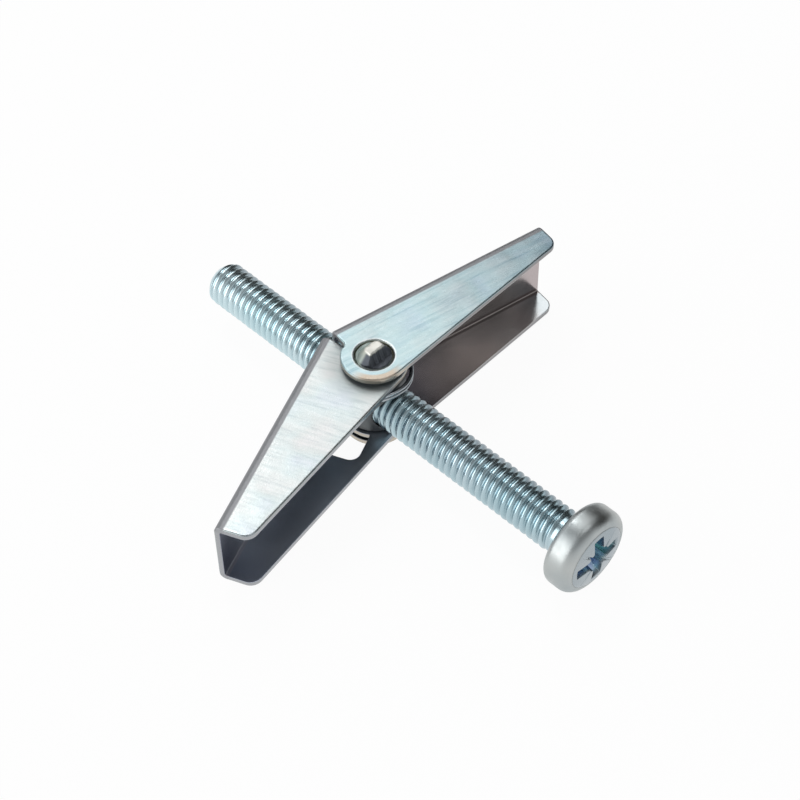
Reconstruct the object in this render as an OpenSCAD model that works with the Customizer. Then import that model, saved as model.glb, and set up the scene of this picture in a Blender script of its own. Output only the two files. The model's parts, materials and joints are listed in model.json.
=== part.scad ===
// Spring toggle bolt: a machine screw through a barrel nut that carries two sprung wings.
// The origin is the centre of the face under the screw's head. The screw lies along X with its
// head at +X, and the pin that both wings swing on stands along Z.

/* [Screw] */
// Outside diameter of the thread
thread_d = 5.8; // [4.8:0.1:7]
// Length under the head
screw_len = 60; // [45:1:90]
// Diameter of the pan head
head_d = 11; // [9.1:0.1:14]
// Height of the pan head
head_h = 4.15; // [3.7:0.05:5.4]
// Room between the head and the folded wings' tips, along the screw
head_room = 2.4; // [2:0.1:10]

/* [Nut] */
// Wall of the nut's barrel beside its cross hole
barrel_wall = 0.825; // [0.7:0.005:1.2]
// Gap round the screw in the cross hole, on the radius
thread_gap = 0.075; // [0.03:0.005:0.1]
// Diameter of the pins that the wings swing on
pin_d = 4.7; // [3.9:0.1:5.7]
// Gap round each pin in its hole, on the radius
pin_gap = 0.08; // [0.03:0.01:0.1]

/* [Wings] */
// Thickness of the sheet
sheet_t = 0.75; // [0.6:0.01:0.95]
// Length of both wings from the pin to the tip
wing_len = 29.6; // [24.6:0.1:36]
// Gap between the screw and the inner wing's plain side
plain_gap = 0.17; // [0.13:0.005:0.5]
// Gap between the two wings' sides
ear_gap = 0.525; // [0.3:0.005:0.9]
// Width of the sheet round each pin's hole
ear_wall = 1.67; // [1.4:0.01:2.1]
// Gap between the coil and the inside of the outer wing's back
back_gap = 0.9; // [0.7:0.05:1.3]
// How much farther from the pin the inner wing's back lies than the outer wing's
back_step = 1.15; // [1:0.05:1.4]
// Angle between the outer wing's free edge and its back
outer_taper = 12.5; // [10:0.1:13.5]
// Angle between the inner wing's free edge and its back
inner_taper = 13.8; // [11:0.1:14.5]
// Lean of the open outer wing towards the head
outer_lean = 10.9; // [8:0.1:14]
// Lean of the open inner wing towards the head
inner_lean = 23; // [19:0.1:28]

/* [Spring] */
// Diameter of the spring's wire
wire_d = 0.55; // [0.45:0.01:0.7]
// Gap between the nut's barrel and the coil
coil_gap = 0.45; // [0.2:0.01:0.6]
// Length of the spring's legs, along the wings from the pin
leg_len = 11; // [8:0.5:14]

/* [Hidden] */
$fn = 96;
eps = 0.01;
far = 40;                        // longer than any piece that a cut has to clear

// Screw
thread_r = thread_d / 2;
head_r = head_d / 2;
pin_to_head = wing_len + head_room;
head_round = 1.5;                // rounding between the head's side and its face
underside_round = 1;             // rounding between the head's side and the face under it
crown_r = 27;                    // radius of the head's slightly domed face
rim_r = head_r - head_round;     // where the domed face ends
rim_h = head_h - crown_r + sqrt(crown_r * crown_r - rim_r * rim_r);
tip_chamfer = 0.75;
recess_span = 6.6;               // cross recess, tip to tip across its arms
recess_arm = 1.25;               // width of an arm at the face
recess_depth = 2.3;
recess_core_r = 1.9;             // cone in the middle of the recess, at the face
recess_foot_r = 0.95;            // the same cone at its foot
recess_flare = 0.3;              // how far the arms' ends lean out
tick_w = 0.28;                   // the four shallow marks between the arms
tick_depth = 0.35;
tick_reach = 2.9;

// Spring
wire_r = wire_d / 2;
wire_sides = 8;
coil_turns = 2;                  // whole turns, on top of the angle between the legs
coil_steps = 28;                 // rings in one turn
coil_pitch = wire_d + 0.01;
crest_gap = 0.385;               // between the screw and the coil
end_gap = 0.09;                  // between the inner wing's side and what lies inside it
leg_gap = 0.1;                   // between a leg's end and the wing it pushes

// Nut
barrel_r = thread_r + thread_gap + barrel_wall;
barrel_chamfer = 0.3;
pin_r = pin_d / 2;
stub_r = pin_r - 0.2;            // cropped end of each pin
stub_top_r = stub_r - 0.55;      // the same at its top, where it is broken away
stub_rise = 1.5;                 // how far the cropped end stands out of the outer wing
stub_foot = 0.2;                 // the same at the plain end
pin_short = 0.35;                // from the outer wing's face down to where a pin narrows
crop_angle = 32;                 // slope of the two faces that cropping leaves
crop_flat = 0.7;                 // width of the ridge between them

// Wings
hole_r = pin_r + pin_gap;
ear_r = hole_r + ear_wall;
coil_r = barrel_r + coil_gap + wire_r;
outer_back = coil_r + wire_r + back_gap + sheet_t;
inner_back = outer_back + back_step;
bend_in_r = 0.15;                // inside radius of the folds
bend_r = bend_in_r + sheet_t;
tip_round = 1.6;                 // rounding of the tips' corners
outer_root = -1.9;               // where the outer wing's sheet starts, past the pin
neck_angle = 189;                // direction in which the inner wing's neck leaves its ear
neck_depth = 1;                  // height of the straight end at a wing's back
stop_gap = 0.12;                 // between the outer wing's end and the inner wing's neck
relief_r = 0.7;                  // round relief between an ear and the neck
slot_round = 1.5;
outer_ledge = 1.15;              // what the screw's slot leaves of the back at each side
inner_ledge = 0.2;
outer_slot_end = 3;
inner_slot_end = 2;
window_from = 3.2;               // opening in the inner wing's plain side
window_to = 8.6;
window_low = -3.3;
window_high = 0.9;
window_round = 1.3;

// Where a leg of a wing with this back ends, in the wing's own frame
function leg_end(back) = [leg_len, -(back - sheet_t - leg_gap - wire_r)];

// Angle, in the wing's own frame, at which the line from a leg's end touches the coil
function touch_angle(end) = atan2(end.y, end.x) - acos(coil_r / norm(end));

// The coil runs clockwise from start to stop, rising as it goes
coil_start = 270 + inner_lean + touch_angle(leg_end(inner_back));
coil_stop = 90 - outer_lean - touch_angle(leg_end(outer_back)) - 360 * coil_turns;
coil_rise = coil_pitch * (coil_start - coil_stop) / 360;

// The inner wing holds the screw and, on one side of it, the coil; the outer wing spans both
spring_room = crest_gap + wire_d + coil_rise + end_gap;
inner_half = (thread_d + plain_gap + spring_room) / 2;
inner_w = 2 * (inner_half + sheet_t);
outer_w = inner_w + 2 * (ear_gap + sheet_t);
screw_drop = inner_half - plain_gap - thread_r;

// A point at radius r and angle a
function polar(r, a) = [r * cos(a), r * sin(a)];

// From a wing's own frame to directions about the pin, and back for the inner wing
function from_outer(p) = polar(norm(p), 90 - outer_lean - atan2(p.y, p.x));
function from_inner(p) = polar(norm(p), inner_lean - 90 + atan2(p.y, p.x));
function to_inner(p) = polar(norm(p), 90 - inner_lean + atan2(p.y, p.x));

// Places what is drawn about the pin's axis, at mid width, into the bolt's frame
module at_pin() { translate([-pin_to_head, 0, screw_drop]) children(); }

// ---- Machine screw ----------------------------------------------------------------------------

// Half section of the screw, drawn with its axis along Y and the face under the head at 0
module screw_section() {
    polygon([[0, -screw_len], [thread_r - tip_chamfer, -screw_len], [thread_r, -screw_len + tip_chamfer],
             [thread_r, eps], [0, eps]]);
    foot_r = head_r - underside_round;
    polygon([[0, 0], [foot_r, 0], [foot_r, underside_round], [head_r, underside_round],
             [head_r, rim_h - head_round], [rim_r, rim_h - head_round], [rim_r, head_h], [0, head_h]]);
    translate([rim_r, rim_h - head_round]) intersection() {
        circle(head_round);
        square(head_round);
    }
    translate([foot_r, underside_round]) intersection() {
        circle(underside_round);
        translate([0, -underside_round]) square(underside_round);
    }
}

// Cross recess, its mouth at z = 0 and its foot below
module recess() {
    intersection() {
        union() {
            for (a = [0, 90])
                rotate(a) cube([recess_span, recess_arm, 4 * recess_depth], center = true);
            cylinder(r = recess_core_r, h = 4 * recess_depth, center = true);
        }
        rotate_extrude()
            polygon([[0, 1], [recess_span / 2 + recess_flare, 1], [recess_span / 2, 0],
                     [recess_core_r, -recess_depth * 0.7], [recess_foot_r, -recess_depth],
                     [0, -recess_depth - 0.3]]);
    }
    for (a = [45, 135])
        rotate(a) cube([2 * tick_reach, tick_w, 2 * tick_depth], center = true);
}

module machine_screw() {
    color("lightsteelblue") rotate([0, 90, 0]) difference() {
        intersection() {
            rotate_extrude() screw_section();
            translate([0, 0, head_h - crown_r]) union() {
                sphere(crown_r, $fn = 180);
                translate([0, 0, -far - screw_len]) cylinder(r = far, h = far + screw_len);
            }
        }
        translate([0, 0, head_h]) recess();
    }
}

// ---- Trunnion nut -----------------------------------------------------------------------------

// Cuts the two sloping faces that cropping leaves on a pin's end, the ridge between them along Y
module cropped_end(height) {
    for (side = [-1, 1])
        translate([side * crop_flat / 2, 0, height]) rotate([0, side * crop_angle, 0])
            translate([side > 0 ? 0 : -far, -far / 2, 0]) cube([far, far, far]);
}

module trunnion_nut() {
    half = inner_half - end_gap;
    edge_r = barrel_r - barrel_chamfer;
    face = outer_w / 2;
    neck = face - pin_short;
    top = face + stub_rise;
    foot = face + stub_foot;
    color("silver") at_pin() difference() {
        rotate_extrude() {
            polygon([[0, -half], [edge_r, -half], [barrel_r, -half + barrel_chamfer],
                     [barrel_r, half - barrel_chamfer], [edge_r, half], [0, half]]);
            polygon([[0, -foot], [stub_r, -foot], [stub_r, -neck - (pin_r - stub_r)], [pin_r, -neck],
                     [pin_r, neck], [stub_r, neck + (pin_r - stub_r)], [stub_r, foot],
                     [stub_top_r, top], [0, top]]);
        }
        translate([0, 0, -screw_drop]) rotate([0, 90, 0])
            cylinder(r = thread_r + thread_gap, h = far, center = true);
        cropped_end(top);
    }
}

// ---- Wings ------------------------------------------------------------------------------------
// A wing is drawn with its length along X, its back at -Y and the pin's axis at the origin.

// U section across a wing, in Y and Z
module wing_section(width, back) {
    depth = back + ear_r + 1;
    difference() {
        translate([-back, -width / 2]) rounded_back(depth, width, bend_r);
        translate([-back + sheet_t, -width / 2 + sheet_t])
            rounded_back(depth, width - 2 * sheet_t, bend_in_r);
    }
}

// Rectangle with its two corners at x = 0 rounded
module rounded_back(depth, width, r) {
    translate([r, 0]) square([depth - r, width]);
    translate([0, r]) square([depth, width - 2 * r]);
    for (y = [r, width - r]) translate([r, y]) circle(r);
}

// Side view of a wing: the neck past the pin, the back, the rounded tip, the sloping free edge
// and the round ear, with a small relief where the neck meets the ear
module wing_side(back, taper, neck_top, neck_foot) {
    round_x = wing_len - tip_round;
    round_y = (ear_r - tip_round - round_x * sin(taper)) / cos(taper);
    free = [sin(taper), cos(taper)];
    along = (neck_foot - neck_top) / norm(neck_foot - neck_top);
    difference() {
        union() {
            polygon([[0, 0], neck_top, neck_foot, [neck_foot.x, -back], [wing_len, -back], [wing_len, round_y],
                     [round_x, round_y] + tip_round * free, ear_r * free]);
            translate([round_x, round_y]) circle(tip_round);
            circle(ear_r);
        }
        translate(neck_top + relief_r * ([along.y, -along.x] + 0.3 * along)) circle(relief_r);
    }
}

// Rounded slot along X, from x0 to x1 and y0 to y1
module rounded_slot(x0, x1, y0, y1, r) {
    translate([x0, y0 + r]) square([x1 - x0, y1 - y0 - 2 * r]);
    translate([x0 + r, y0]) square([x1 - x0 - 2 * r, y1 - y0]);
    for (x = [x0 + r, x1 - r], y = [y0 + r, y1 - r]) translate([x, y]) circle(r);
}

// A folded wing, with its pin holes and the screw's slot through its back
module wing(width, back, taper, neck_top, neck_foot, slot_hw, slot_end) {
    difference() {
        intersection() {
            translate([-back, 0, 0]) rotate([90, 0, 90])
                linear_extrude(back + wing_len + 1) wing_section(width, back);
            linear_extrude(width + 2, center = true) wing_side(back, taper, neck_top, neck_foot);
        }
        cylinder(r = hole_r, h = width + 2, center = true);
        translate([0, -back + bend_r, 0]) rotate([90, 0, 0])
            linear_extrude(bend_r + 1)
                rounded_slot(neck_foot.x - 2 * slot_round, slot_end, -slot_hw, slot_hw, slot_round);
    }
}

module outer_wing() {
    neck_top = [outer_root, -sqrt(ear_r ^ 2 - outer_root ^ 2)];
    neck_foot = [outer_root, -outer_back + neck_depth];
    color("powderblue") at_pin() rotate(90 - outer_lean) mirror([0, 1, 0])
        wing(outer_w, outer_back, outer_taper, neck_top, neck_foot,
             outer_w / 2 - sheet_t - outer_ledge, outer_slot_end);
}

// The outer wing's end meets the inner wing's neck and stops both wings as they open
module inner_wing() {
    stop = from_outer([outer_root, -outer_back + sheet_t]) - [0, stop_gap];
    neck_top = to_inner(polar(ear_r, neck_angle));
    slope = (to_inner(stop) - neck_top) / (to_inner(stop) - neck_top).y;
    neck_foot = neck_top + slope * (-inner_back + neck_depth - neck_top.y);
    color("gainsboro") at_pin() rotate(-90 + inner_lean) difference() {
        wing(inner_w, inner_back, inner_taper, neck_top, neck_foot, inner_half - inner_ledge, inner_slot_end);
        translate([0, 0, -inner_w / 2 - 1]) linear_extrude(1 + sheet_t + eps) difference() {
            rounded_slot(window_from, window_to, window_low, window_high, window_round);
            circle(ear_r);
        }
    }
}

// ---- Torsion spring ---------------------------------------------------------------------------

// Round wire along a list of points, as rings joined into one closed mesh
module wire(path) {
    last = len(path) - 1;
    points = [for (i = [0 : last])
        let (d = path[min(i + 1, last)] - path[max(i - 1, 0)],
             t = d / norm(d),
             side = cross([0, 0, 1], t) / norm(cross([0, 0, 1], t)),
             up = cross(t, side))
        for (k = [0 : wire_sides - 1])
            path[i] + wire_r * (cos(360 * k / wire_sides) * side + sin(360 * k / wire_sides) * up)];
    faces = concat(
        [[for (k = [0 : wire_sides - 1]) k]],
        [for (i = [0 : last - 1], k = [0 : wire_sides - 1])
            let (a = i * wire_sides, n = (k + 1) % wire_sides)
            [a + k, a + wire_sides + k, a + wire_sides + n, a + n]],
        [[for (k = [wire_sides - 1 : -1 : 0]) last * wire_sides + k]]);
    polyhedron(points, faces);
}

// The lower leg pushes the inner wing, the coil rises from it, and the upper leg pushes the
// outer wing
module torsion_spring() {
    steps = ceil(coil_steps * (coil_start - coil_stop) / 360);
    lower_tip = from_inner(leg_end(inner_back));
    upper_tip = from_outer(leg_end(outer_back));
    coil = [for (i = [0 : steps])
        let (p = polar(coil_r, coil_start + (coil_stop - coil_start) * i / steps))
        [p.x, p.y, coil_rise * i / steps]];
    color("dimgray") at_pin() translate([0, 0, inner_half - end_gap - wire_r - coil_rise])
        wire(concat([[lower_tip.x, lower_tip.y, 0]], coil, [[upper_tip.x, upper_tip.y, coil_rise]]));
}

machine_screw();
trunnion_nut();
outer_wing();
inner_wing();
torsion_spring();
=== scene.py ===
"""Spring toggle bolt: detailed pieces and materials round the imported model, in metres, in its frame."""
import json
import math
from collections import namedtuple
from types import SimpleNamespace

import bmesh
import bpy
import numpy as np
from mathutils import Matrix, Vector


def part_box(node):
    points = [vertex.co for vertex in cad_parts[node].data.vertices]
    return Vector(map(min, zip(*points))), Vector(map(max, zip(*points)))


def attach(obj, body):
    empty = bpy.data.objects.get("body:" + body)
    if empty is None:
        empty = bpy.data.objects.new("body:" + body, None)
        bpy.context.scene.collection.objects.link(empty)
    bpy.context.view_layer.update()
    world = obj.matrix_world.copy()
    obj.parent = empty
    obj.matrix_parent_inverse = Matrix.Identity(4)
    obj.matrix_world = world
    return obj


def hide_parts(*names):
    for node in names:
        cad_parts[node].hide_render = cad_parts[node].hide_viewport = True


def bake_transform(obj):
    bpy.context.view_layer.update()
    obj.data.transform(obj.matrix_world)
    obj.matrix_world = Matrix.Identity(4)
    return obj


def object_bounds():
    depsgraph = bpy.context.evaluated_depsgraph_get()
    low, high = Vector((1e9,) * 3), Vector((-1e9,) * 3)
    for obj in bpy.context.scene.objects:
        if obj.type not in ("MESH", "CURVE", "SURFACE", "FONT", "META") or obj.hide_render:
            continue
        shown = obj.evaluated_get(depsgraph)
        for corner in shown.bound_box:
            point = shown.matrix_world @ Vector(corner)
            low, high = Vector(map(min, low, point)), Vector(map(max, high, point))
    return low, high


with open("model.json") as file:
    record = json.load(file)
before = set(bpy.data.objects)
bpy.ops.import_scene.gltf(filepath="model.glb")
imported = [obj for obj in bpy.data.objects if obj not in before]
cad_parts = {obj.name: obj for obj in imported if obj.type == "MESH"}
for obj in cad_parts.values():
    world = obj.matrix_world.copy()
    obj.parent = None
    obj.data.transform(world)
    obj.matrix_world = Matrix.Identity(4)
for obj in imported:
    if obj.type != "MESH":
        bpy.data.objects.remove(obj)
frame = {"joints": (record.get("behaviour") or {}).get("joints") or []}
CAD_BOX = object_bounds()
MM = 0.001


def height(node):
    """Height of a CAD node along the pin, in millimetres."""
    low, high = (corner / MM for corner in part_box(node))
    return high.z - low.z


# ---- Sizes in millimetres, read from the frame or repeated from the part's source ----------------
joints = {j["name"]: j for j in frame["joints"]}
PIVOT = Vector(joints["outer_wing_fold"]["pos_m"]) / MM

# screw: it lies along X, and the underside of its head is at x = 0
SCREW_LEN = -(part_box("machine_screw")[0] / MM).x
THREAD_R, ROOT_R, NECK_R = 2.885, 2.5, 2.62
THREAD_STOP, NECK_X = -2.0, -1.15       # the thread fades into the neck between these
TIP_R, TIP_SLOPE = 2.12, 0.95
HEAD_R, HEAD_H, CROWN_R = 5.5, 4.13, 27.0
HEAD_ROUND, UNDER_ROUND = 1.5, 1.0
FACE_R, FACE_X = 4.2, 2.0               # radius of the head's face, and a plane behind it
RECESS_PATCH = 3.75                     # the finer mesh round the recess reaches this far

# wings, each a folded sheet
Wing = namedtuple("Wing", "width back lean taper mirrored")
OUTER = Wing(height("outer_wing"), 6.45, math.radians(10.9), math.radians(12.5), True)
INNER = Wing(height("inner_wing"), 7.6, math.radians(23), math.radians(13.8), False)
SHEET = 0.75
WING_LEN = 29.6
EAR_R, HOLE_R = 4.1, 2.43
BEND_IN = 0.15                          # inner radius of the folds
OUTER_ROOT = -1.9                       # where the outer wing's back starts, behind the pin
NECK_ANGLE, NECK_DEPTH = math.radians(189), 1.0
STOP_GAP = 0.12                         # between the inner wing's neck and the outer wing's back
RELIEF_R, RELIEF_SHIFT = 0.7, 0.3       # round notch between ear and neck; its shift is in radii
TIP_ROUND, SLOT_ROUND = 1.6, 1.5

# spring and nut
SIDE_GAP = 0.09                         # inside the inner wing's ears
LEG_GAP, TURN_GAP = 0.1, 0.01           # from a leg to its wing's back, and from turn to turn
WIRE_R = 0.275
COIL_R = 4.525
LEG_LEN = 11.0
RAMP = 0.8                              # length over which a leg leaves the coil for its wing
PIN_R, STUB_R = 2.35, 2.15
PIN_NECK = OUTER.width / 2 - 0.35       # where the pin steps down to its stub
NUT_TOP = OUTER.width / 2 + 1.5
BARREL_R, BORE_R = 3.8, 2.975


def srgb(r, g, b):
    """Linear colour from 0-255 values."""
    return tuple(((c / 255 + 0.055) / 1.055) ** 2.4 if c > 10 else c / 255 / 12.92 for c in (r, g, b)) + (1.0,)


def smooth(a, b, x):
    """0 before a, 1 after b, and a smooth step between them."""
    t = np.clip((x - a) / (b - a), 0.0, 1.0)
    return t * t * (3 - 2 * t)


def polar(r, a):
    return np.array([r * math.cos(a), r * math.sin(a)])


def finish_mesh(bm, mesh, name, sharp):
    """Scales a millimetre mesh to metres and makes it an object, its edges sharp from an angle in degrees."""
    bmesh.ops.scale(bm, vec=(MM, MM, MM), verts=bm.verts)
    bm.to_mesh(mesh)
    bm.free()
    obj = bpy.data.objects.new(name, mesh)
    bpy.context.scene.collection.objects.link(obj)
    mesh.polygons.foreach_set("use_smooth", [True] * len(mesh.polygons))
    mesh.set_sharp_from_angle(angle=math.radians(sharp))
    mesh.update()
    return obj


def point_attribute(obj, name, values):
    layer = obj.data.attributes.new(name, "FLOAT", "POINT")
    layer.data.foreach_set("value", np.asarray(values, np.float32))


# ---- Screw ---------------------------------------------------------------------------------------
STEPS = 72
THETA = np.arange(STEPS) * 2 * math.pi / STEPS
OVERRUN = 1.5                           # the helix starts and ends this far past the shank
WELD = 0.0005


def thread_profile(phase):
    """Radius of the rolled thread at a phase of 0..1 along one pitch, crest at 0."""
    at = [0, 0.1, 0.15, 0.19, 0.38, 0.44, 0.5]
    r = [THREAD_R, THREAD_R - 0.012, THREAD_R - 0.035, THREAD_R - 0.08, ROOT_R + 0.05, ROOT_R + 0.01, ROOT_R]
    p = np.abs((np.asarray(phase) + 0.5) % 1.0 - 0.5)
    return np.interp(p, at, r)


def screw_radius(x, angle):
    """Radius of the shank at x and angle: thread of 1 mm pitch, slightly worn crests, neck and pointed tip."""
    r = thread_profile(x - angle / (2 * math.pi))
    wear = 0.010 * np.sin(3.1 * x + 2 * angle) + 0.008 * np.sin(7.7 * x - 3 * angle + 1)
    crest = smooth(THREAD_R - 0.2, THREAD_R, r)
    r = r + (wear - 0.012) * crest
    r = r + (NECK_R - r) * smooth(THREAD_STOP, NECK_X, x)
    tip = TIP_R + TIP_SLOPE * (x + SCREW_LEN)
    return np.minimum(r, tip)


def helix(low, high):
    """Points and faces of the thread: one strip round the helix, its phases across it, held back to the ends."""
    phases = np.array([0, 0.1, 0.15, 0.19, 0.38, 0.44, 0.5, 0.56, 0.62, 0.81, 0.85, 0.9])
    per = len(phases)
    count = int((SCREW_LEN + 2 * OVERRUN) * STEPS)
    k = np.arange(count)[:, None]
    angle = k * 2 * math.pi / STEPS
    x = np.clip(low - OVERRUN + k / STEPS + phases[None, :], low, high)
    r = screw_radius(x, angle)
    points = np.stack([x, r * np.cos(angle), r * np.sin(angle)], 2).reshape(-1, 3)
    faces = []
    for i in range(count - STEPS - 1):
        for p in range(per):
            a, b = i * per + p, (i + 1) * per + p
            c, d = (b + 1, a + 1) if p + 1 < per else ((i + 1 + STEPS) * per, (i + STEPS) * per)
            faces.append((a, b, c, d))
    return points, faces


def lathe(profile, start):
    """Points and faces of rings turned from (x, radius) pairs, and where the last ring's indices begin."""
    rings, faces = [], []
    for x, r in profile:
        r = np.broadcast_to(r, (STEPS,))
        rings.append(np.stack([np.full(STEPS, x), r * np.cos(THETA), r * np.sin(THETA)], 1))
    for i in range(len(profile) - 1):
        a = start + i * STEPS
        for j in range(STEPS):
            n = (j + 1) % STEPS
            faces.append((a + j, a + n, a + STEPS + n, a + STEPS + j))
    return np.concatenate(rings), faces, start + (len(profile) - 1) * STEPS


def crown_x(r):
    return HEAD_H - CROWN_R + np.sqrt(CROWN_R ** 2 - r ** 2)


def head_profile():
    """Neck, face under the head, rounded edges and the rim of the domed face."""
    arc = [(1 - math.cos(t), math.sin(t)) for t in np.linspace(0, math.pi / 2, 8)]
    foot, rim_r = HEAD_R - UNDER_ROUND, HEAD_R - HEAD_ROUND
    rim_x = crown_x(rim_r)
    profile = [(NECK_X, NECK_R), (-0.5, NECK_R), (-0.25, NECK_R + 0.02), (-0.09, NECK_R + 0.09),
               (-0.02, NECK_R + 0.2), (0.0, NECK_R + 0.35), (0.0, 3.8)]
    profile += [(UNDER_ROUND * a, foot + UNDER_ROUND * b) for a, b in arc]
    profile += [(0.55 * UNDER_ROUND + 0.45 * (rim_x - HEAD_ROUND), HEAD_R)]
    profile += [(rim_x - HEAD_ROUND * a, rim_r + HEAD_ROUND * b) for a, b in arc[:1:-1]]
    # a fine groove round the face
    profile += [(crown_x(FACE_R + 0.04) - 0.02, FACE_R + 0.04), (crown_x(FACE_R) - 0.05, FACE_R),
                (crown_x(FACE_R - 0.05), FACE_R - 0.05), (crown_x(3.9), 3.9)]
    return profile


def recess_depth(y, z):
    """Depth of the cross recess below the crown at a point of the face."""
    r = np.hypot(y, z)
    floor = np.interp(r, [0, 0.55, 1.15, 2.0, 3.15, 3.54], [2.5, 2.35, 2.2, 1.75, 0.62, -0.1])
    arm = 0.78 - np.minimum(np.abs(y), np.abs(z))
    core = 1.7 - r
    wall = np.maximum(arm, core) * 9.0
    depth = np.minimum(floor, wall)
    # the four fine ticks between the arms
    diagonal = 0.16 - np.abs(np.abs(y) - np.abs(z)) / math.sqrt(2)
    tick = np.minimum(0.32 * smooth(2.95, 1.75, r), diagonal * 4)
    depth = np.maximum(depth, tick)
    lip = 0.09
    return np.where(depth > lip, depth, np.where(depth < -lip, 0, (depth + lip) ** 2 / (4 * lip)))


def recess_coordinates():
    """Grid lines across the face, close together where the arms' walls stand."""
    half = np.concatenate([np.linspace(0, 0.63, 7), np.linspace(0.69, 0.89, 8), np.linspace(0.96, 3.56, 36),
                           np.linspace(3.62, RECESS_PATCH, 3)])
    return np.concatenate([-half[:0:-1], half]) / RECESS_PATCH


def stitch(ring_a, ring_b, angle_a, angle_b):
    """Triangles between two closed rings of indices whose angles grow from -pi to pi."""
    faces, i, j = [], 0, 0
    na, nb = len(ring_a), len(ring_b)
    while i < na or j < nb:
        next_a = angle_a[i + 1] if i + 1 < na else angle_a[0] + 2 * math.pi
        next_b = angle_b[j + 1] if j + 1 < nb else angle_b[0] + 2 * math.pi
        if j >= nb or (i < na and next_a <= next_b):
            faces.append((ring_a[i % na], ring_a[(i + 1) % na], ring_b[j % nb]))
            i += 1
        else:
            faces.append((ring_a[i % na], ring_b[(j + 1) % nb], ring_b[j % nb]))
            j += 1
    return faces


def face_grid(start, last):
    """Face with the cross recess: a square grid that turns round towards its edge, stitched to the last ring."""
    c = recess_coordinates()
    n = len(c)
    u, v = np.meshgrid(c, c, indexing="ij")
    reach = np.maximum(np.abs(u), np.abs(v))
    length = np.maximum(np.hypot(u, v), 1e-9)
    turn = 1 + (reach / length - 1) * smooth(0.35, 1.0, reach)
    y, z = u * RECESS_PATCH * turn, v * RECESS_PATCH * turn
    x = crown_x(np.hypot(y, z)) - recess_depth(y, z)
    faces = []
    for i in range(n - 1):
        for j in range(n - 1):
            a = start + i * n + j
            faces.append((a, a + n, a + n + 1, a + 1))
    edge = [(i, 0) for i in range(n)] + [(n - 1, j) for j in range(1, n)]
    edge += [(i, n - 1) for i in range(n - 2, -1, -1)] + [(0, j) for j in range(n - 2, 0, -1)]
    around = sorted((math.atan2(z[i, j], y[i, j]), start + i * n + j) for i, j in edge)
    rim = sorted((math.atan2(math.sin(t), math.cos(t)), last + j) for j, t in enumerate(THETA))
    faces += stitch([i for _, i in around], [i for _, i in rim], [a for a, _ in around], [a for a, _ in rim])
    return np.stack([x, y, z], 2).reshape(-1, 3), faces


def build_screw():
    low = -SCREW_LEN
    thread, faces = helix(low, NECK_X)
    # tip: a slightly hollow cropped face
    hollow = [(low, screw_radius(np.full(STEPS, low), THETA)), (low, 1.95), (low + 0.03, 1.7), (low + 0.05, 0.8),
              (low + 0.05, 0.25)]
    tip, more, last = lathe(hollow, len(thread))
    faces += more + [tuple(last + j for j in range(STEPS))]
    head, more, last = lathe(head_profile(), len(thread) + len(tip))
    faces += more
    face, more = face_grid(len(thread) + len(tip) + len(head), last)
    faces += more

    mesh = bpy.data.meshes.new("screw")
    mesh.from_pydata([tuple(v) for v in np.concatenate([thread, tip, head, face])], [], faces)
    bm = bmesh.new()
    bm.from_mesh(mesh)
    bmesh.ops.remove_doubles(bm, verts=bm.verts, dist=WELD)
    bmesh.ops.dissolve_degenerate(bm, edges=bm.edges, dist=WELD)
    loose = [v for v in bm.verts if not v.link_faces]
    bmesh.ops.delete(bm, geom=loose, context="VERTS")
    bmesh.ops.recalc_face_normals(bm, faces=bm.faces)
    return finish_mesh(bm, mesh, "screw", 50)


def mark_screw(obj):
    """Masks for the material: thread root, head, face, the groove round the face, and the recess."""
    deepest, shallowest = ROOT_R + 0.05, THREAD_R - 0.15
    rules = {
        "root": lambda x, r: 1 - float(smooth(deepest, shallowest, r)) if -SCREW_LEN + 0.3 < x < -1.3 else 0.0,
        "head": lambda x, r: float(smooth(-0.6, 0.3, x)) if r > FACE_R - 0.02 or x < FACE_X else 0.0,
        "face": lambda x, r: float(x > FACE_X),
        "rim": lambda x, r: float(x > FACE_X and abs(r - FACE_R) < 0.02),
        "recess": lambda x, r: float(smooth(0.12, 0.6, crown_x(r) - x)) if x > 1.2 and r < 3.7 else 0.0,
    }
    places = [(v.co.x / MM, math.hypot(v.co.y, v.co.z) / MM) for v in obj.data.vertices]
    for name, rule in rules.items():
        point_attribute(obj, name, [rule(x, r) for x, r in places])


# ---- Wings ---------------------------------------------------------------------------------------
# A wing is drawn as its flat blank, u along its length and s round its section, and then folded.
BEND_MID = BEND_IN + SHEET / 2
BEND_ARC = BEND_MID * math.pi / 2
EDGE_OUT, EDGE_IN = 0.18, 0.05          # rounding of the sheared edges, outside and inside the channel
EDGE_BAND = 0.1                         # flat band beside the rounding, which keeps the flats' shading flat
MITRE_LIMIT = 0.6


def half_flat(wing):
    """Half the flat width of a wing's back, up to where its folds start."""
    return wing.width / 2 - SHEET - BEND_IN


def ear_line(wing):
    """Where the pin's axis lies on a wing's flat blank, across its length."""
    return half_flat(wing) + BEND_ARC + wing.back - SHEET - BEND_IN


def arc_points(cx, cy, r, a0, a1, n):
    angles = [a0 + (a1 - a0) * i / n for i in range(n + 1)]
    return [(cx + r * math.cos(a), cy + r * math.sin(a)) for a in angles]


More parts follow.
